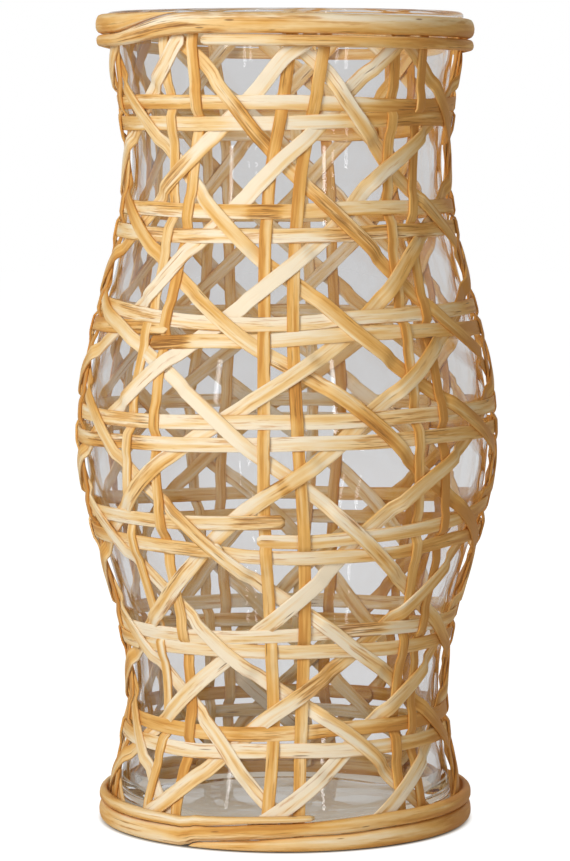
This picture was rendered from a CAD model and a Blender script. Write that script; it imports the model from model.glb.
import math
import random

import bmesh
import bpy
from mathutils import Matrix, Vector, noise


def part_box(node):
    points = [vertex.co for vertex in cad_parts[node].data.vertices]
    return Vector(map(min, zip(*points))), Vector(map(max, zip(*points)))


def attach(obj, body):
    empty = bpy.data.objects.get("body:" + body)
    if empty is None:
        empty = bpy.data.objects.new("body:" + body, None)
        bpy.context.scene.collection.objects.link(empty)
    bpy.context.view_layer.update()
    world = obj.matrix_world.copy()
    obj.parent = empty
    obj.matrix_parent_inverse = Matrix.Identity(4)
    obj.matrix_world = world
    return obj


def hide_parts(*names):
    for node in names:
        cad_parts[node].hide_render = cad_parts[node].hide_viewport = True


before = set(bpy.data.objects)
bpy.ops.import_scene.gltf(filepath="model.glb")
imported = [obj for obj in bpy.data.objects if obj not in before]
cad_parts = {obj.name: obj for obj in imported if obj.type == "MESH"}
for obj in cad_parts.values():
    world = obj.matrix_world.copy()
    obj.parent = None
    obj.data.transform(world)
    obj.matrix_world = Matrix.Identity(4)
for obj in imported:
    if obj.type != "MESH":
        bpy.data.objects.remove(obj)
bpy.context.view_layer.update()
print("frame loaded:", len(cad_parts), "solids")

# the body that everything lies on: angles are degrees from the front, to the right,
# and heights and radii are metres

rowCount = 7
columnCount = 9
columnPitch = 360 / columnCount

body = {
    "rimRadius": 0.0874,
    "lowWaist": (0.066, 0.0790),
    "belly": (0.195, 0.1035),
    "highWaist": (0.334, 0.0796),
    "skin": 0.0027,  # from the middle layer to the inner or outer face of the weave
    "layer": 0.00125,  # how far strips that cross bend away from the middle layer
    "slopeStep": 0.001,  # the height over which a slope is taken
}

# how the hand-woven strips drift from the even lattice
drift = {
    "backTurn": 3.6,  # degrees
    "sideTurn": 4.9,
    "backDip": 0.006,
    "bag": 0.0018,
    "bagFrom": 0.03,  # the bag lies between these heights and is full by bagSoft further in
    "bagTo": 0.38,
    "bagSoft": 0.03,
    # (height, degrees)
    "lean": [(0, -1.0), (0.090, 1.0), (0.190, -1.0), (0.275, -1.5), (0.330, 0.8), (0.395, 6.5)],
}

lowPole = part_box("bottom_rim_pole")
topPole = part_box("top_rim_pole")
sleeveTop = topPole[1].z
rimHeight = lowPole[1].z
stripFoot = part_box("stake_1_left")[0].z
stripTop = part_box("stake_1_left")[1].z

stations = [
    (rimHeight / 2, body["rimRadius"]),
    body["lowWaist"],
    body["belly"],
    body["highWaist"],
    (sleeveTop - rimHeight / 2, body["rimRadius"]),
]


def between(table, at):  # a smooth value between the points of a table
    if at <= table[0][0]:
        return table[0][1]
    for (low, lowValue), (high, highValue) in zip(table, table[1:]):
        if at <= high:
            share = (1 - math.cos(math.pi * (at - low) / (high - low))) / 2
            return lowValue + (highValue - lowValue) * share
    return table[-1][1]


def flowing(table, at):  # a curve through the points of a table, without a halt at each
    if at <= table[0][0]:
        return table[0][1]
    for index in range(len(table) - 1):
        low, high = table[index], table[index + 1]
        if at <= high[0]:
            before = table[max(0, index - 1)]
            after = table[min(len(table) - 1, index + 2)]
            reach = high[0] - low[0]
            rise = (high[1] - before[1]) / (high[0] - before[0]) * reach
            fall = (after[1] - low[1]) / (after[0] - low[0]) * reach
            share = (at - low[0]) / reach
            square, cube = share * share, share**3
            return (
                low[1] * (2 * cube - 3 * square + 1)
                + rise * (cube - 2 * square + share)
                + high[1] * (3 * square - 2 * cube)
                + fall * (cube - square)
            )
    return table[-1][1]


def bodyRadius(z):
    return between(stations, z)


def bodySlope(z):
    step = body["slopeStep"]
    return (bodyRadius(z + step / 2) - bodyRadius(z - step / 2)) / step


def bodyNormal(angle, z):
    turn = math.radians(angle)
    return Vector((math.sin(turn), -math.cos(turn), -bodySlope(z))).normalized()


def softStep(share):
    share = min(1.0, max(0.0, share))
    return share * share * (3 - 2 * share)


def bagAt(side, z):  # the body swells a little on the right, clear of the rims
    above = softStep((z - drift["bagFrom"]) / drift["bagSoft"])
    below = softStep((drift["bagTo"] - z) / drift["bagSoft"])
    return drift["bag"] * softStep(side) * above * below


def bodyPoint(angle, z, level=0.0):
    turn = math.radians(angle)
    radius = bodyRadius(z) + bagAt(math.sin(turn), z)
    return Vector((radius * math.sin(turn), -radius * math.cos(turn), z)) + bodyNormal(angle, z) * level


def drifted(angle, z):  # where the real weave has an angle of the even lattice
    turn = math.radians(angle)
    spread = drift["backTurn"] * (1 - math.cos(turn)) + drift["sideTurn"] * math.sin(turn)
    return angle + spread + flowing(drift["lean"], z)


# heights of the hoops, from the frame: row 1 is the highest
rowHeight = {}
for row in range(1, rowCount + 1):
    rowHeight[row] = (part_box(f"hoop_{row}_lower")[0].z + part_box(f"hoop_{row}_upper")[1].z) / 2
rowPitch = (rowHeight[1] - rowHeight[rowCount]) / (rowCount - 1)
ladder = [rowHeight[row] for row in range(rowCount, 0, -1)]


def heightAt(steps):  # height at so many rows above the lowest one
    inside = min(rowCount - 1, max(0, steps))
    low = min(rowCount - 2, int(inside))
    height = ladder[low] + (ladder[low + 1] - ladder[low]) * (inside - low)
    return height + (steps - inside) * rowPitch


# mesh helpers


def newObject(name, bm, material):
    mesh = bpy.data.meshes.new(name)
    bm.to_mesh(mesh)
    bm.free()
    for polygon in mesh.polygons:
        polygon.use_smooth = True
    mesh.materials.append(material)
    piece = bpy.data.objects.new(name, mesh)
    bpy.context.scene.collection.objects.link(piece)
    return piece


def wrapped(along, around, place, grain, stain):
    # a grid rolled into a closed bar: place and grain take shares of its length and of its girth
    bm = bmesh.new()
    bmesh.ops.create_grid(bm, x_segments=along, y_segments=around, size=0.5)
    layer = bm.loops.layers.uv.new("grain")
    for face in bm.faces:
        for loop in face.loops:
            loop[layer].uv = grain(loop.vert.co.x + 0.5, loop.vert.co.y + 0.5)
    marks = bm.verts.layers.float.new("stain")
    for vert in bm.verts:
        vert[marks] = stain(vert.co.x + 0.5)
        vert.co = place(vert.co.x + 0.5, vert.co.y + 0.5)
    bmesh.ops.remove_doubles(bm, verts=bm.verts, dist=1e-6)
    bmesh.ops.holes_fill(bm, edges=[edge for edge in bm.edges if edge.is_boundary], sides=around)
    bmesh.ops.recalc_face_normals(bm, faces=bm.faces)
    return bm


def waver(at, number, pattern):  # smooth chance along a piece, other for each number
    pace, spread, lane = pattern
    return noise.noise(Vector((at * pace, number * spread, lane)))


strip = {
    "thick": 0.0011,
    "crown": 0.00012,  # how much the outer face swells
    "squareness": 0.2,  # of its edges seen along it: less is squarer
    "flatness": 0.45,  # and of its faces
    "stepAlong": 0.0017,
    "girthFaces": 18,
    "endRun": 0.0022,  # the run over which an end is rounded
    "endWidth": 0.35,
    "endThick": 0.6,
    "widthWave": 0.055,
    "sideWave": 0.00035,
    "liftWave": 0.00008,
    # (pace, spread, lane) of the chance behind each wave
    "widthPattern": (28, 7.31, 0.5),
    "sidePattern": (17, 3.77, 4.5),
    "liftPattern": (40, 5.13, 9.5),
    "grainShift": 1.37,  # so that no two pieces have the same grain
}


def profilePoint(share, width, thick):
    # the girth of a flat strip with soft edges and a crowned outer face
    turn = 2 * math.pi * share
    across = math.copysign(abs(math.cos(turn)) ** strip["squareness"], math.cos(turn))
    up = math.copysign(abs(math.sin(turn)) ** strip["flatness"], math.sin(turn))
    swell = strip["crown"] * (1 - across * across) if up > 0 else 0
    return across, across * width / 2, up * thick / 2 + swell


def stained(table, at):  # the strongest mark at a place: a table of (from, to, strength)
    strength = 0.0
    for first, last, value in table:
        fade = (last - first) / 4
        share = softStep((at - first) / fade) * softStep((last - at) / fade)
        if abs(value) * share > abs(strength):
            strength = value * share
    return strength


def stripPiece(name, route, width, number, material, marks=(), byAngle=False):
    # route is a list of (angle, height, level); marks go by angle, or by height in millimetres
    points = [bodyPoint(*stop) for stop in route]
    lengths = [0.0]
    for a, b in zip(points, points[1:]):
        lengths.append(lengths[-1] + (b - a).length)
    count = len(points) - 1
    rings = []
    for index, point in enumerate(points):
        out = bodyNormal(route[index][0], route[index][1])
        ahead = (points[min(count, index + 1)] - points[max(0, index - 1)]).normalized()
        side = out.cross(ahead).normalized()
        face = ahead.cross(side).normalized()
        at = lengths[index]
        wave = waver(at, number, strip["widthPattern"]) * strip["widthWave"]
        sway = waver(at, number, strip["sidePattern"]) * strip["sideWave"]
        lift = waver(at, number, strip["liftPattern"]) * strip["liftWave"]
        rings.append((point + side * sway + face * lift, side, face, width * (1 + wave)))
    total = lengths[-1]

    def endShare(at):  # 1 along the strip, less within the last bit before a rounded end
        nearest = min(at, total - at)
        return math.sqrt(max(0.02, 1 - (1 - min(1, nearest / strip["endRun"])) ** 2))

    def place(share, girth):
        index = round(share * count)
        middle, side, face, wide = rings[index]
        full = endShare(lengths[index])
        narrow = strip["endWidth"] + (1 - strip["endWidth"]) * full
        thick = strip["thick"] * (strip["endThick"] + (1 - strip["endThick"]) * full)
        _, x, y = profilePoint(girth, wide * narrow, thick)
        return middle + side * x + face * y

    def grain(share, girth):
        across = profilePoint(girth, 1, 1)[0]
        return lengths[round(share * count)] + number * strip["grainShift"], across

    def stain(share):
        angle, z, _ = route[round(share * count)]
        return stained(marks, angle if byAngle else z * 1000)

    return newObject(name, wrapped(count, strip["girthFaces"], place, grain, stain), material)


# materials


class Link:  # a shader value that takes part in sums
    def __init__(self, recipe, socket):
        self.recipe = recipe
        self.socket = socket

    def maths(self, operation, first, second):
        return self.recipe.add("ShaderNodeMath", {"operation": operation}, {0: first, 1: second})

    def __add__(self, other):
        return self.maths("ADD", self, other)

    def __sub__(self, other):
        return self.maths("SUBTRACT", self, other)

    def __rsub__(self, other):
        return self.maths("SUBTRACT", other, self)

    def __mul__(self, other):
        return self.maths("MULTIPLY", self, other)

    __radd__ = __add__
    __rmul__ = __mul__


class Recipe:  # one material and its nodes
    def __init__(self, name):
        self.material = bpy.data.materials.new(name)
        self.material.use_nodes = True
        self.tree = self.material.node_tree
        self.tree.nodes.clear()

    def add(self, kind, settings=None, values=None, output=0):
        node = self.tree.nodes.new(kind)
        for key, value in (settings or {}).items():
            if key == "stops":
                ramp = node.color_ramp
                while len(ramp.elements) < len(value):
                    ramp.elements.new(0.5)
                for element, (position, colour) in zip(ramp.elements, value):
                    element.position = position
                    element.color = colour
            else:
                setattr(node, key, value)
        for key, value in (values or {}).items():
            if isinstance(value, Link):
                self.tree.links.new(value.socket, node.inputs[key])
            else:
                node.inputs[key].default_value = value
        return Link(self, node.outputs[output]) if node.outputs else None

    def blend(self, share, first, second, how="MIX"):
        settings = {"data_type": "RGBA", "blend_type": how}
        return self.add("ShaderNodeMix", settings, {0: share, 6: first, 7: second}, 2)

    def ramp(self, value, low, high):  # 0 below low, 1 above high, smooth between
        settings = {"interpolation_type": "SMOOTHSTEP"}
        return self.add("ShaderNodeMapRange", settings, {0: value, 1: low, 2: high, 3: 0.0, 4: 1.0})

    def noise(self, vector, scale, detail=2.0, roughness=0.5, distortion=0.0):
        moved = self.add("ShaderNodeMapping", {}, {0: vector, 3: scale})
        values = {0: moved, 2: 1.0, 3: detail, 4: roughness, 8: distortion}
        return self.add("ShaderNodeTexNoise", {"noise_dimensions": "3D"}, values)

    def rays(self, *labels):  # what kind of ray is looking
        node = self.add("ShaderNodeLightPath").socket.node
        return [Link(self, node.outputs[label]) for label in labels]

    def surface(self, settings):
        shader = self.add("ShaderNodeBsdfPrincipled", {}, settings)
        self.add("ShaderNodeOutputMaterial", {}, {0: shader})
        return self.material


rattan = {
    "cream": (0.96, 0.82, 0.60, 1),
    "straw": (0.92, 0.66, 0.33, 1),
    "honey": (0.82, 0.46, 0.13, 1),
    "orange": (0.64, 0.29, 0.065, 1),
    "scorch": (0.22, 0.09, 0.03, 1),
    "stops": (0.04, 0.34, 0.70, 1.0),  # tones at which the first four colours stand
    # scales of the noises along and across the grain
    "fibreScale": (50, 8),
    "broadScale": (40, 1.6),
    "slowScale": (13, 0.7),
    "blotchScale": (34, 2.6),
    # how far each of them moves the tone
    "slow": 2.0,
    "broad": 0.8,
    "fibre": 0.25,
    "stain": 0.25,
    # how strongly each kind of mark covers what lies below
    "fibreMark": 0.26,
    "streakMark": 0.65,
    "scorchMark": 0.8,
    "edgeMark": 0.42,
    "dotMark": 0.75,
    "dotScale": 60,
    "dotSize": (0.05, 0.11),
    "bump": 0.55,
    "bumpDepth": 0.0004,
    "index": 1.46,
    "sheen": 0.22,
}


def rattanMaterial(name, streaks, patches, knots):
    # streaks, patches and knots are how closely those lie, against the scales above
    recipe = Recipe(name)
    grain = recipe.add("ShaderNodeUVMap", {"uv_map": "grain"})
    across = recipe.add("ShaderNodeSeparateXYZ", {}, {0: grain}, 1)
    tone = recipe.add("ShaderNodeAttribute", {"attribute_name": "tone"}, output=2)
    stain = recipe.add("ShaderNodeAttribute", {"attribute_name": "stain"}, output=2)
    (fibreLong, fibreWide), (broadLong, broadWide) = rattan["fibreScale"], rattan["broadScale"]
    (slowLong, slowWide), (blotchLong, blotchWide) = rattan["slowScale"], rattan["blotchScale"]
    fibre = recipe.noise(grain, (fibreLong, fibreWide * streaks, 1), 4, 0.6)
    broad = recipe.noise(grain, (broadLong, broadWide * streaks, 1), 3, 0.6)
    slow = recipe.noise(grain, (slowLong * patches, slowWide, 1), 2, 0.5)
    blotch = recipe.noise(grain, (blotchLong * patches, blotchWide, 1), 4, 0.62, 0.7)
    depth = tone + rattan["slow"] * (slow - 0.5) + rattan["broad"] * (broad - 0.5)
    depth = depth + rattan["fibre"] * (fibre - 0.5) + rattan["stain"] * stain
    colours = [rattan[shade] for shade in ("cream", "straw", "honey", "orange")]
    colour = recipe.add("ShaderNodeValToRGB", {"stops": list(zip(rattan["stops"], colours))}, {0: depth})
    colour = recipe.blend(recipe.ramp(fibre, 0.54, 0.76) * rattan["fibreMark"], colour, rattan["honey"])
    streak = recipe.ramp(blotch + 0.7 * (broad - 0.5) + 0.17 * stain, 0.56, 0.70)
    colour = recipe.blend(streak * rattan["streakMark"], colour, rattan["orange"])
    scorch = recipe.ramp(fibre + blotch + 0.20 * stain, 1.18, 1.36)
    colour = recipe.blend(scorch * rattan["scorchMark"], colour, rattan["scorch"])
    rim = recipe.add("ShaderNodeMath", {"operation": "ABSOLUTE"}, {0: across})
    edge = recipe.ramp(rim + 0.9 * (blotch - 0.5), 0.90, 1.10)
    colour = recipe.blend(edge * rattan["edgeMark"], colour, rattan["orange"])
    spread = recipe.add("ShaderNodeMapping", {}, {0: grain, 3: (rattan["dotScale"] * knots, 1.0, 1)})
    nearest = {"feature": "F1", "distance": "EUCLIDEAN"}
    spots = recipe.add("ShaderNodeTexVoronoi", nearest, {0: spread, 2: 1.0})
    dot = 1 - recipe.ramp(spots, *rattan["dotSize"])
    colour = recipe.blend(dot * rattan["dotMark"], colour, rattan["scorch"])
    height = 0.6 * fibre + 0.35 * broad - 0.4 * dot - 0.25 * scorch
    relief = {"Strength": rattan["bump"], "Distance": rattan["bumpDepth"], "Height": height}
    looks = {
        "Base Color": colour,
        "Roughness": 0.42 + 0.2 * fibre + 0.12 * streak,
        "Normal": recipe.add("ShaderNodeBump", {}, relief),
        "IOR": rattan["index"],
        "Specular IOR Level": rattan["sheen"],
    }
    return recipe.surface(looks)


stripMaterial = rattanMaterial("rattan_strip", streaks=1.0, patches=1.0, knots=0.35)
poleMaterial = rattanMaterial("rattan_pole", streaks=0.9, patches=0.6, knots=0.6)

glassLook = {
    "tint": (0.875, 0.872, 0.875, 1),
    "index": 1.33,
    "ripples": (9, 9, 26),  # per metre across and up
    "bump": 0.25,
    "bumpDepth": 0.002,
    "lostAfter": 3.5,  # bounces
}


def glassMaterial():
    recipe = Recipe("clear_glass")
    place = recipe.add("ShaderNodeTexCoord", output=3)
    ripple = recipe.noise(place, glassLook["ripples"], 2, 0.4)
    relief = {"Strength": glassLook["bump"], "Distance": glassLook["bumpDepth"], "Height": ripple}
    settings = {
        "Base Color": glassLook["tint"],
        "Roughness": 0.0,
        "IOR": glassLook["index"],
        "Transmission Weight": 1.0,
        "Normal": recipe.add("ShaderNodeBump", {}, relief),
    }
    shader = recipe.add("ShaderNodeBsdfPrincipled", {}, settings)
    # light for shadows, and rays lost inside the wall, go straight through
    clear = recipe.add("ShaderNodeBsdfTransparent", {}, {0: (1, 1, 1, 1)})
    shadow, diffuse, bounces = recipe.rays("Is Shadow Ray", "Is Diffuse Ray", "Ray Depth")
    limit = {0: bounces, 1: glassLook["lostAfter"]}
    lost = recipe.add("ShaderNodeMath", {"operation": "GREATER_THAN"}, limit)
    clamped = {"operation": "ADD", "use_clamp": True}
    through = recipe.add("ShaderNodeMath", clamped, {0: shadow + diffuse, 1: lost})
    mixed = recipe.add("ShaderNodeMixShader", {}, {0: through, 1: shader, 2: clear})
    recipe.add("ShaderNodeOutputMaterial", {}, {0: mixed})
    return recipe.material


clearGlass = glassMaterial()
print("materials made")

hoops = {
    "width": 0.0071,
    "gap": 0.0104,
    "steps": 300,
    "lap": 14,  # degrees by which the ends overlap
    "laps": {"hoop_3_lower": 7, "hoop_5_upper": 8, "hoop_5_lower": 6},
    "lapLift": 0.0009,  # how far an end moves in or out to clear the other
    "lapSoft": 8,  # degrees
    "wave": 0.0005,
    "wavePace": 2.6,
    "press": 0.00015,
    "pressPattern": (0.09, 2.3, 1.5),
    "tableEnd": 130,  # degrees at which a table of the front gives way to the even row
    # where the ones that end in front start
    "starts": {"hoop_3_lower": -43, "hoop_5_upper": -8, "hoop_5_lower": -24, "hoop_6_lower": -74},
    # the way of each round the front: (degrees, millimetres above the middle of its row)
    "paths": {
        "hoop_1_upper": [(-60, 5.2), (0, 4.8), (22, 4.0), (45, 3.2), (80, 4)],
        "hoop_1_lower": [(-80, -5), (-12, -5), (5, -4.4), (25, -3.6), (45, -2.8), (80, -3.5)],
        "hoop_2_upper": [(-80, 6.5), (-30, 5.5), (0, 5.6), (22, 6.6), (60, 6.8)],
        "hoop_2_lower": [(-80, -5.5), (-30, -6.4), (8, -6), (22, -5.5), (45, -4.2), (80, -4)],
        "hoop_3_upper": [
            (-85, 9.5), (-68, 8.9), (-35, 4.3), (-22, 3.2), (-7, 3), (7, 4), (20, 6), (36, 6.6), (80, 7.6)
        ],
        "hoop_3_lower": [
            (-43, -7.3), (-25, -5.5), (-7, -4.6), (8, -3), (27, -1.7), (60, -1.8), (120, -5), (200, -5),
            (279, -1.2), (330, 1)
        ],
        "hoop_4_upper": [(-60, 3.2), (-39, 3.8), (-9, 4.8), (17, 5.2), (32, 6.3), (50, 6.9)],
        "hoop_4_lower": [(-74, -9), (-38, -6.7), (-9, -5.7), (17, -5), (50, -4.2)],
        "hoop_5_upper": [
            (-8, -3.7), (4, -3.7), (18, -2.3), (34, -0.3), (60, 4), (80, 7), (140, 5.5), (300, 5),
            (336, 5.2), (361, 6.7)
        ],
        "hoop_5_lower": [
            (-24, -9), (-8, -10.8), (19, -11.3), (35, -10.4), (60, -7), (300, -7), (333, -8), (343, -7.4)
        ],
        "hoop_6_upper": [(-60, 2), (-29, 2.4), (2, 4.6), (29, 6.2), (50, 5.6)],
        "hoop_6_lower": [(-60, -4), (5, -3.8), (43, -4.4)],
        "hoop_7_upper": [(-60, 3.5), (-31, 2.6), (5, 4.3), (23, 5.7), (50, 5)],
        "hoop_7_lower": [(-60, -6), (-34, -6.7), (-15, -5.4), (15, -4.7), (50, -4.8)],
    },
    # where the front ones are stained: from and to in degrees from the front, strength
    "marks": {
        "hoop_1_upper": [(-62, -38, 0.3), (-20, 20, -0.6), (25, 62, 0.5)],
        "hoop_1_lower": [(-30, 25, -0.8), (35, 72, 0.5)],
        "hoop_2_upper": [(-68, -28, 0.5), (-15, 1, 1.0)],
        "hoop_2_lower": [(-62, -25, 0.7), (6, 62, 0.9)],
        "hoop_3_upper": [(-62, -38, 0.5)],
        "hoop_3_lower": [(-46, -26, 1.3), (-10, 20, -0.6), (290, 322, 0.9)],
        "hoop_4_upper": [(-66, -34, 0.5), (15, 45, 0.4)],
        "hoop_4_lower": [(-70, -36, 0.9), (15, 52, 0.6)],
        "hoop_5_upper": [(310, 335, 0.5), (342, 366, 0.8)],
        "hoop_5_lower": [(30, 60, 0.5), (316, 340, 0.7)],
        "hoop_6_upper": [(10, 38, 1.1)],
        "hoop_7_upper": [(-22, 0, 0.5), (8, 22, 0.9), (28, 52, 0.5)],
    },
}


def hoopName(row, upper):
    return f"hoop_{row}_{'upper' if upper else 'lower'}"


def hoopStart(name):  # at the back, where no other place is given
    return hoops["starts"].get(name, -200 - 40 * random.Random(name).random())


def backDip(angle):  # the rows sink towards the back
    return drift["backDip"] * softStep(-math.cos(math.radians(angle)))


def hoopHeight(row, upper, turned):
    name = hoopName(row, upper)
    rest = hoops["gap"] / 2 * 1000 * (1 if upper else -1)
    path = hoops["paths"][name]
    if name not in hoops["starts"]:
        path = [(-hoops["tableEnd"], rest)] + path + [(hoops["tableEnd"], rest)]
    turn = math.radians(turned)
    across, deep = math.sin(turn) * hoops["wavePace"], math.cos(turn) * hoops["wavePace"]
    wave = noise.noise(Vector((across, deep, row * 3.1 + upper))) * hoops["wave"]
    return rowHeight[row] + flowing(path, turned) / 1000 + wave - backDip(turned)


def hoopAt(row, upper, angle):  # for any angle, however many turns it has made
    start = hoopStart(hoopName(row, upper))
    return hoopHeight(row, upper, start + (angle - start) % 360)


# how much browner each side is: strength, and the shares of the way out at which it begins and is full
ageing = {
    "right": (0.40, 0.15, 0.95),
    "left": (0.10, 0.6, 1.0),
    "edges": (0.26, 0.82, 0.97),
    "back": (0.12, 0.0, 1.0),
}
# the tone of each family of strips and how far it varies: 0 is cream, 0.5 honey and 1 brown
tones = {"hoop": (0.30, 0.22), "stake": (0.52, 0.22), "down": (0.32, 0.24), "up": (0.12, 0.16)}


def aged(side, out):
    strength, begins, full = ageing[side]
    return strength * softStep((out - begins) / (full - begins))


def dress(piece, node, tone):
    attribute = piece.data.attributes.new("tone", "FLOAT", "POINT")
    values = []
    for vert in piece.data.vertices:
        out = Vector(vert.co.xy).normalized()
        sides = aged("right", out.x) + aged("left", -out.x) + aged("edges", abs(out.x))
        values.append(tone + sides + aged("back", out.y))
    attribute.data.foreach_set("value", values)
    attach(piece, "root")
    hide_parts(node)


def toneOf(family, name):
    base, spread = tones[family]
    return base + spread * (random.Random(f"{family}{name}").random() * 2 - 1)


def hoopPiece(row, upper, number):
    name = hoopName(row, upper)
    first = hoopStart(name)
    lap = hoops["laps"].get(name, hoops["lap"])
    turn = 360 + lap
    route = []
    for index in range(hoops["steps"] + 1):
        run = turn * index / hoops["steps"]
        # the first end is tucked behind the last one
        behind = 1 - softStep((run - lap) / hoops["lapSoft"])
        ahead = 1 - softStep((turn - run - lap) / hoops["lapSoft"])
        press = waver(run, number, hoops["pressPattern"]) * hoops["press"]
        level = press + hoops["lapLift"] * (ahead - behind)
        route.append((first + run, hoopHeight(row, upper, first + run), level))
    marks = hoops["marks"].get(name, ())
    piece = stripPiece(name + "_strip", route, hoops["width"], number, stripMaterial, marks, True)
    dress(piece, name, toneOf("hoop", name))


number = 0
for row in range(1, rowCount + 1):
    for upper in (True, False):
        number += 1
        hoopPiece(row, upper, number)
print("hoops made")

stakes = {
    "width": 0.0060,
    "halfGap": 5.05,  # degrees
    "step": 0.0060,  # the run over which a stake comes back to the middle layer
    "tightest": 0.0012,  # and the least over which it changes sides between two hoops
    "spare": 0.0008,
    "wander": 1.3,  # degrees
    "wanderPattern": (14, 3.3, 2.2),
    # degrees by which the front ones wander, at these heights
    "heights": [0.017, 0.052, 0.099, 0.152, 0.201, 0.250, 0.301, 0.327, 0.354, 0.388],
    "paths": {
        "stake_9_left": [-3, 0, -0.5, -2, 2, 5, 6.5, 5, 3, -0.5],
        "stake_9_right": [0, 1.5, 0.5, 0.5, 1, 1.5, 3, 3, 3.5, 0.5],
        "stake_1_left": [0.5, 1, 0, 0, 1, 1, 0, 0, 1.5, 1.5],
        "stake_1_right": [-0.5, -0.5, 0, 0, -1, -1.5, -1, -0.5, 1, 1],
        "stake_2_left": [3, 2.5, 4, 2, 0.5, 0, -0.5, -1.5, -3, -7],
        "stake_2_right": [1.5, -0.5, 0.5, 1, -1.5, -2.5, -2, -0.5, -1.5, -5.5],
    },
    # stained heights in millimetres: from, to, strength
    "marks": {
        "stake_9_right": [(56, 102, 0.5)],
        "stake_1_left": [(362, 392, 0.6)],
        "stake_1_right": [(207, 234, 1.1)],
        "stake_2_left": [(362, 392, 0.5)],
    },
}


def nearestRow(z, angle):
    nearest = min(rowHeight, key=lambda row: abs(z - rowHeight[row] + backDip(angle)))
    return sorted((hoopAt(nearest, False, angle), hoopAt(nearest, True, angle)))


def stakeLevel(z, angle, left):
    low, high = nearestRow(z, angle)
    middle = (low + high) / 2
    atUpper = -body["layer"] if left else body["layer"]
    half = hoops["width"] / 2
    if low <= z <= high:
        room = max(stakes["tightest"], (high - low) / 2 - half + stakes["spare"])
        return atUpper * (2 * softStep((z - middle) / room / 2 + 0.5) - 1)
    beyond = max(low - z, z - high) - half
    return math.copysign(1, z - middle) * atUpper * (1 - softStep(beyond / stakes["step"]))


stakeRuns = {}  # the angle of every stake, from its foot up


def stakePiece(column, left, number):
    name = f"stake_{column}_{'left' if left else 'right'}"
    middle = (column - 1) * columnPitch
    path = stakes["paths"].get(name)
    table = list(zip(stakes["heights"], path)) if path else None
    count = round((stripTop - stripFoot) / strip["stepAlong"])
    route = []
    for index in range(count + 1):
        z = stripFoot + (stripTop - stripFoot) * index / count
        if table:
            wander = flowing(table, z)
        else:
            wander = waver(z, number, stakes["wanderPattern"]) * stakes["wander"] * 2
        angle = drifted(middle + (-1 if left else 1) * stakes["halfGap"], z) + wander
        stakeRuns.setdefault(name, []).append(angle)
        route.append((angle, z, stakeLevel(z, angle, left)))
    marks = stakes["marks"].get(name, ())
    piece = stripPiece(name + "_strip", route, stakes["width"], number, stripMaterial, marks)
    dress(piece, name, toneOf("stake", name))


for column in range(1, columnCount + 1):
    for left in (True, False):
        number += 1
        stakePiece(column, left, number)
print("stakes made")

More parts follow.
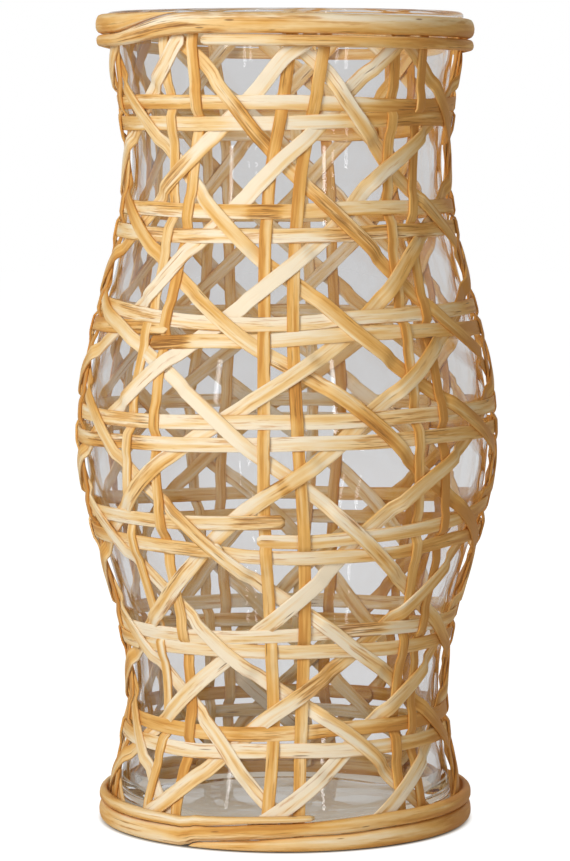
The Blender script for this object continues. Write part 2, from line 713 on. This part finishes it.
braces = {
    "downWidth": 0.0072,
    "upWidth": 0.0079,
    "halfSpan": 0.0027,
    "change": 0.0085,  # the run over which a brace changes level
    "stakeNearest": -0.001,  # a stake closer than this doesn't pull a brace off a hoop's level
    "inset": 0.36,  # of its width, by which the middle of an end stands in from the rims
    "firstStep": -1.2,  # in rows
    "step": 0.028,
    "wander": 0.0035,
    "wanderPattern": (0.9, 1.9, 6.6),
    # millimetres that the front ones stray from the lattice, at so many rows above the lowest
    "downPaths": {
        1: [(-0.4, -1.5), (-0.2, 2), (0.1, 2), (0.35, 0), (0.6, -2.8), (1.0, -4.5), (1.3, -2.4)],
        2: [
            (0.6, -0.5), (0.9, -2), (1.2, -3), (1.45, -6), (1.7, -7.4), (2.0, -7), (2.25, -2.5), (2.6, -1),
            (3.1, 5)
        ],
        3: [(1.6, -6), (1.95, -2), (2.3, 4), (2.7, 7), (3.0, 12), (3.3, 14), (3.75, 10), (4.2, 0)],
        4: [(2.6, 0), (2.85, 6.5), (3.1, 10.5), (3.35, 11), (3.7, 8.5), (4.2, 10)],
        5: [
            (3.55, -4.6), (3.9, -2), (4.3, 2.4), (4.65, 0.5), (5.05, 2.6), (5.4, 4), (5.8, 3), (6.2, 3.5),
            (6.45, 6)
        ],
        6: [(4.2, -10), (4.65, -6), (4.9, -2.2), (5.3, 0.2), (5.7, 1.2), (6.0, 6), (6.3, 11)],
        7: [(5.6, -7), (5.8, -4), (6.1, 0.5), (6.3, 4.5)],
        8: [(-0.5, -11), (-0.2, -6.5), (0.05, -4), (0.3, 3)],
        9: [(-0.4, -11), (0.2, -1)],
    },
    "upPaths": {
        1: [(-0.4, -8), (0.3, -5.5), (0.6, -6.8), (0.95, -6.8), (1.3, -7.5), (1.7, -8)],
        2: [(-0.55, -6.7), (-0.2, -6.5), (0.1, -4), (0.5, -4.5), (0.75, -5.7)],
        3: [(5.6, 0), (6.2, -1), (6.4, 3), (6.55, 9)],
        4: [(5.3, -8), (5.45, -5.5), (5.75, -5), (6.0, -3), (6.2, 0), (6.4, 8)],
        5: [(4.4, -8), (4.8, -1), (5.2, 2), (5.45, 6), (5.7, 8), (5.9, 15), (6.15, 20), (6.35, 22)],
        6: [(3.3, -4.5), (3.6, -2), (3.9, -1), (4.4, 0), (4.9, 3), (5.2, 9), (5.6, 6)],
        7: [(2.3, -5.3), (2.5, -2), (2.7, -1), (3.2, -1), (3.7, -1), (3.95, 0), (4.3, 4), (4.6, 9)],
        8: [
            (1.4, -9), (1.65, -8), (1.9, -6), (2.3, -1.5), (2.6, -1.5), (2.8, -0.5), (3.05, 5), (3.4, 7),
            (3.65, 10)
        ],
        9: [
            (0.35, -10), (0.6, -8.6), (0.9, -8.2), (1.3, -9.8), (1.7, -8.5), (1.9, -4.5), (2.1, -0.7),
            (2.4, 1.6), (2.7, 0.5)
        ],
    },
    # stained heights in millimetres: from, to, strength
    "marks": {
        "brace_down_2": [(145, 172, 0.7)],
        "brace_down_3": [(175, 250, -0.8)],
        "brace_down_4": [(197, 217, 0.8), (224, 240, 0.5)],
        "brace_down_5": [(280, 330, -0.8)],
        "brace_down_6": [(281, 326, 0.8), (333, 364, 1.0)],
        "brace_up_1": [(70, 92, 0.9)],
        "brace_up_4": [(312, 336, 0.6), (350, 392, -0.8)],
        "brace_up_5": [(300, 355, -1.2)],
        "brace_up_6": [(225, 300, -0.8)],
        "brace_up_7": [(167, 190, 0.5)],
        "brace_up_8": [(177, 180, 0.9), (108, 142, 0.5), (150, 174, -0.8), (184, 200, -0.8)],
        "brace_up_9": [(110, 145, -1.0)],
    },
}


def braceLevel(z, angle, onHoop):
    # the level of the hoops or of the stakes, whichever is nearer
    low, high = nearestRow(z, angle)
    fromHoop = max(low - z, z - high) - hoops["width"] / 2 - braces["halfSpan"]
    share = min(1, max(0, (z - stripFoot) / (stripTop - stripFoot)))
    apart = 360.0
    for run in stakeRuns.values():
        at = run[round(share * (len(run) - 1))]
        apart = min(apart, abs((angle - at + 180) % 360 - 180))
    fromStake = math.radians(apart) * bodyRadius(z) - stakes["width"] / 2 - braces["halfSpan"]
    nearer = fromHoop - max(fromStake, braces["stakeNearest"])
    return onHoop * (1 - 2 * softStep(0.5 + nearer / braces["change"]))


def bracePiece(column, rises, number):
    name = f"brace_{'up' if rises else 'down'}_{column}"
    path = braces["upPaths" if rises else "downPaths"].get(column)
    table = [(path[0][0] - 1, 0)] + path + [(path[-1][0] + 1, 0)] if path else None
    width = braces["upWidth" if rises else "downWidth"]
    inset = width * braces["inset"]
    route = []
    steps = braces["firstStep"]
    while steps < rowCount:
        steps += braces["step"]
        base = heightAt(steps)
        if table:
            stray = flowing(table, steps) / 1000
        else:
            stray = waver(steps, number, braces["wanderPattern"]) * braces["wander"] * 2
        lattice = (column - 1) * columnPitch + (1 if rises else -1) * columnPitch * (steps - 0.5)
        z = base + stray - backDip(drifted(lattice, base))
        if not stripFoot + inset < z < stripTop - inset:
            continue
        angle = drifted(lattice, z)
        onHoop = -body["layer"] if rises else body["layer"]
        route.append((angle, z, braceLevel(z, angle, onHoop)))
    marks = braces["marks"].get(name, ())
    piece = stripPiece(name + "_strip", route, width, number, stripMaterial, marks)
    dress(piece, name, toneOf("up" if rises else "down", name))


for column in range(1, columnCount + 1):
    for rises in (False, True):
        number += 1
        bracePiece(column, rises, number)
print("braces made")

poles = {
    "thick": topPole[1].x - body["rimRadius"] - body["skin"] - 0.0008,
    "clearance": 0.0003,
    "steps": 540,
    "girthFaces": 18,
    "roundness": 0.62,  # of the outer side: less is squarer
    "edgeRoundness": 0.9,
    "swell": 0.0003,
    "swellPace": 0.035,
    "wave": 0.0002,
    "wavePattern": (0.03, 1.7, 3.3),
    "endRun": 2,  # degrees
    # start is in degrees from the front and last in degrees from there; rise is the run before the
    # second turn; heights of the pole itself are (degrees, millimetres)
    "top": {
        "tone": 0.28,
        "seat": sleeveTop - 0.0153,
        "start": -26,
        "last": 712,
        "rise": 38,
        "cap": 0.0161,
        "tilt": 0.0012,
        "backDip": 0.004,
        "heights": [
            (0, 5.4), (60, 5.9), (300, 6.1), (322, 6.3), (344, 9.8), (358, 10.7), (378, 10.1), (420, 9.9),
            (720, 9.9),
        ],
        "marks": [(322, 400, 0.7), (20, 50, 0.6), (60, 100, 0.3), (600, 640, -0.4)],
    },
    "bottom": {
        "tone": 0.42,
        "seat": 0.0,
        "start": -31,
        "last": 760,
        "rise": 3,
        "cap": 0.0178,
        "tilt": 0,
        "backDip": 0,
        "heights": [
            (0, 0.8), (2, 2.2), (5, 3.1), (21, 5.3), (36, 7.3), (51, 8), (66, 9.1), (300, 9.1), (345, 9.2),
            (356, 9.2), (361, 8.2), (366, 7.2), (381, 7.4), (396, 6.4), (411, 7.3), (430, 7.1), (620, 7.2),
            (690, 6), (705, 5.5), (724, 5), (741, 3.7), (760, 3.5),
        ],
        "marks": [(349, 404, 0.6), (705, 764, -0.3)],
    },
}


def poleEdges(at, pole):
    # lower and upper edge at an angle along a pole whose second turn lies on the first
    low = 0.0
    if at > 360 - pole["rise"]:
        below = poleEdges(max(0, at - 360), pole)[1]
        low = (below + poles["clearance"]) * softStep((at - 360 + pole["rise"]) / pole["rise"])
    high = min(low + flowing(pole["heights"], at) / 1000, pole["cap"])
    return low, max(high, low + 0.0004)


def polePiece(node, pole, number):
    inner = body["rimRadius"] + body["skin"] + poles["clearance"]

    def place(share, girth):
        at = pole["last"] * share
        low, high = poleEdges(at, pole)
        nearest = min(at, pole["last"] - at) / poles["endRun"]
        full = math.sqrt(max(0.03, 1 - (1 - min(1, nearest)) ** 2))
        middle, half = (low + high) / 2, (high - low) / 2 * (0.5 + 0.5 * full)
        turn = 2 * math.pi * girth
        # a shaved end is thinner as well as lower
        thick = poles["thick"] * min(1, 0.4 + 170 * half) * (0.4 + 0.6 * full)
        chance = (at * poles["swellPace"], number * 4.1 + math.cos(turn), math.sin(turn))
        thick += noise.noise(Vector(chance)) * poles["swell"]
        radius = inner + thick * max(0.0, math.cos(turn)) ** poles["roundness"]
        heading = math.radians(pole["start"] + at)
        edge = math.copysign(abs(math.sin(turn)) ** poles["edgeRoundness"], math.sin(turn))
        wave = waver(at, number, poles["wavePattern"]) * poles["wave"] * (1 - abs(edge))
        z = pole["seat"] + middle + (half - 0.0001) * edge + wave - pole["tilt"] * math.sin(heading)
        z -= pole["backDip"] * softStep(-math.cos(heading))
        return Vector((radius * math.sin(heading), -radius * math.cos(heading), z))

    def grain(share, girth):
        along = math.radians(pole["last"] * share) * inner
        return along + number * strip["grainShift"], math.sin(2 * math.pi * girth)

    def stain(share):
        return stained(pole["marks"], pole["last"] * share)

    bar = wrapped(poles["steps"], poles["girthFaces"], place, grain, stain)
    piece = newObject(node + "_pole", bar, poleMaterial)
    dress(piece, node, pole["tone"])


polePiece("top_rim_pole", poles["top"], 61)
polePiece("bottom_rim_pole", poles["bottom"], 62)
print("rim poles made")

glass = {
    "wall": 0.0030,
    "floor": 0.0065,
    "heelRound": 0.016,
    "behind": 0.0006,  # the gap between it and the weave
    "footRound": 0.0070,
    "bead": 0.0021,
    "lipGap": 0.0016,
    "floorReach": 0.05,
    "rows": 60,
    "turns": 180,
}
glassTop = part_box("glass_vessel")[1].z


def glassRadius(z, depth):
    return bodyRadius(z) - (body["skin"] + glass["behind"] + depth) * math.sqrt(1 + bodySlope(z) ** 2)


def arc(x, z, radius, turns):  # points round a centre, by degrees up from outwards
    angles = [math.radians(turn) for turn in turns]
    return [(x + radius * math.cos(angle), z + radius * math.sin(angle)) for angle in angles]


def glassWall(low, high, depth):
    heights = [low + (high - low) * row / glass["rows"] for row in range(glass["rows"] + 1)]
    return [(glassRadius(z, depth), z) for z in heights]


def glassOutline():
    foot, bead, heelRound = glass["footRound"], glass["bead"], glass["heelRound"]
    neck = stripTop + 0.0004
    heel = glass["floor"] + heelRound
    beadRadius = body["rimRadius"] + body["skin"] + poles["clearance"] - glass["lipGap"] - bead
    outline = [(0.0, 0.0)]
    outline += arc(glassRadius(foot, 0) - foot, foot, foot, range(-90, 15, 15))
    outline += glassWall(foot, neck, 0)[1:]
    outline += arc(beadRadius, glassTop - bead, bead, range(-45, 195, 15))
    outline += glassWall(heel, neck, glass["wall"])[::-1]
    outline += arc(glassRadius(heel, glass["wall"]) - heelRound, heel, heelRound, range(-10, -100, -10))
    outline.append((0.0, glass["floor"]))
    return outline


bm = bmesh.new()
line = [bm.verts.new((x, 0, z)) for x, z in glassOutline()]
edges = [bm.edges.new(pair) for pair in zip(line, line[1:])]
bmesh.ops.spin(
    bm,
    geom=line + edges,
    cent=(0, 0, 0),
    axis=(0, 0, 1),
    angle=2 * math.pi,
    steps=glass["turns"],
    use_merge=True,
)
bmesh.ops.remove_doubles(bm, verts=bm.verts, dist=1e-6)
bmesh.ops.recalc_face_normals(bm, faces=bm.faces)
for vert in bm.verts:  # the wall bags with the weave, and the floor stays
    out = Vector((vert.co.x, vert.co.y, 0))
    if out.length > glass["floorReach"]:
        vert.co += out.normalized() * bagAt(out.x / out.length, vert.co.z)
vessel = newObject("glass_vessel_blown", bm, clearGlass)
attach(vessel, "root")
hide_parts("glass_vessel")
print("glass made")

studio = {
    "floorRadius": 6.0,
    "floorDrop": 0.0003,
    "floorColour": (0.86, 0.86, 0.86, 1),
    "seenColour": (0.25, 0.25, 0.25, 1),
    # how far the floor is lifted to white: seen directly, through glass, and through glass close by
    "floorLift": 0.96,
    "glassLift": 0.369,
    "underGlass": 0.235,
    "underWarm": (0.12, 0.30),  # how much less green and blue the floor gives under the glass
    "whiteFrom": 0.0905,  # distances from the middle between which the lift sets in
    "whiteBy": 0.0958,
    "ambient": 0.16,
    "behindGlass": 0.78,  # how bright the backdrop is through the glass
    "mirrored": 0.65,  # and in reflections
    "camera": (0, -1.78, 0.358),
    "target": (0, 0, 0.196),
    "lens": 148.5,
    "sensor": 36,
    "nearest": 0.05,
    # name, place, where it points, width, height, watts
    "softboxes": [
        ("key_light", (-1.25, -1.7, 1.25), (0, 0, 0.2), 1.0, 1.0, 35),
        ("fill_light", (0.9, -1.9, 0.9), (0, 0, 0.2), 1.0, 1.0, 3),
        ("back_light", (0.9, 1.7, 1.2), (0, 0, 0.2), 1.0, 1.0, 9),
        ("strip_left", (-1.25, -1.5, 0.5), (0, 0, 0.25), 0.08, 0.8, 2),
        ("strip_right", (0.85, -1.75, 0.5), (0, 0, 0.25), 0.07, 0.8, 2),
    ],
    "mirroredBelow": 0.5,  # only lamps narrower than this show in the glass
    # small lamps stand for the light that the glass spreads inside: height, watts
    "innerLamps": [(0.09, 0.02), (0.20, 0.04), (0.31, 0.07)],
    "innerSize": 0.03,
}

floorRecipe = Recipe("studio_floor")
direct, through, mirrored = floorRecipe.rays("Is Camera Ray", "Is Transmission Ray", "Is Glossy Ray")
spot = floorRecipe.add("ShaderNodeTexCoord", output=3)
distance = floorRecipe.add("ShaderNodeVectorMath", {"operation": "LENGTH"}, {0: spot}, 1)
away = floorRecipe.ramp(distance, studio["whiteFrom"], studio["whiteBy"])
seen = studio["underGlass"] + away * (studio["glassLift"] - studio["underGlass"])
glow = direct * away * studio["floorLift"] + (through + mirrored) * seen
lessGreen, lessBlue = (1 - (1 - away) * share for share in studio["underWarm"])
clamped = {"operation": "ADD", "use_clamp": True}
dull = floorRecipe.add("ShaderNodeMath", clamped, {0: direct, 1: through + mirrored})
glowColour = {0: glow, 1: glow * lessGreen, 2: glow * lessBlue}
floorRecipe.surface(
    {
        "Base Color": floorRecipe.blend(dull, studio["floorColour"], studio["seenColour"]),
        "Roughness": 0.9,
        "Specular IOR Level": 0.0,
        "Emission Color": floorRecipe.add("ShaderNodeCombineColor", {}, glowColour),
        "Emission Strength": 1.0,
    }
)
bm = bmesh.new()
bmesh.ops.create_circle(bm, cap_ends=True, segments=96, radius=studio["floorRadius"])
bmesh.ops.translate(bm, verts=bm.verts, vec=(0, 0, -studio["floorDrop"]))
floor = newObject("studio_floor", bm, floorRecipe.material)

world = bpy.data.worlds.new("studio")
world.use_nodes = True
bpy.context.scene.world = world
world.node_tree.nodes.clear()
sky = Recipe("studio_sky")
sky.tree = world.node_tree
direct, through, mirrored = sky.rays("Is Camera Ray", "Is Transmission Ray", "Is Glossy Ray")
plain = (1 - direct) * (1 - through) * (1 - mirrored)
bent = through * studio["behindGlass"] + (1 - through) * mirrored * studio["mirrored"]
level = direct + (1 - direct) * bent + plain * studio["ambient"]
background = sky.add("ShaderNodeBackground", {}, {0: (1, 1, 1, 1), 1: level})
sky.add("ShaderNodeOutputWorld", {}, {0: background})
bpy.data.materials.remove(sky.material)


def hung(name, thing, place):  # a lamp or the camera at its place
    holder = bpy.data.objects.new(name, thing)
    holder.location = place
    bpy.context.scene.collection.objects.link(holder)
    return holder


def turned(place, aim):
    return (Vector(aim) - Vector(place)).to_track_quat("-Z", "Y").to_euler()


for name, place, aim, wide, tall, watts in studio["softboxes"]:
    lamp = bpy.data.lights.new(name, "AREA")
    lamp.shape = "RECTANGLE"
    lamp.size = wide
    lamp.size_y = tall
    lamp.energy = watts
    holder = hung(name, lamp, place)
    holder.rotation_euler = turned(place, aim)
    holder.visible_glossy = holder.visible_transmission = wide < studio["mirroredBelow"]
for z, watts in studio["innerLamps"]:
    lamp = bpy.data.lights.new("inner_light", "POINT")
    lamp.energy = watts
    lamp.shadow_soft_size = studio["innerSize"]
    holder = hung("inner_light", lamp, (0, 0, z))
    holder.visible_camera = holder.visible_glossy = holder.visible_transmission = False

lens = bpy.data.cameras.new("camera")
lens.lens = studio["lens"]
lens.sensor_width = studio["sensor"]
lens.clip_start = studio["nearest"]
camera = hung("camera", lens, studio["camera"])
camera.rotation_euler = turned(studio["camera"], studio["target"])
bpy.context.scene.camera = camera
bpy.context.scene.view_settings.view_transform = "Standard"
print("studio made")
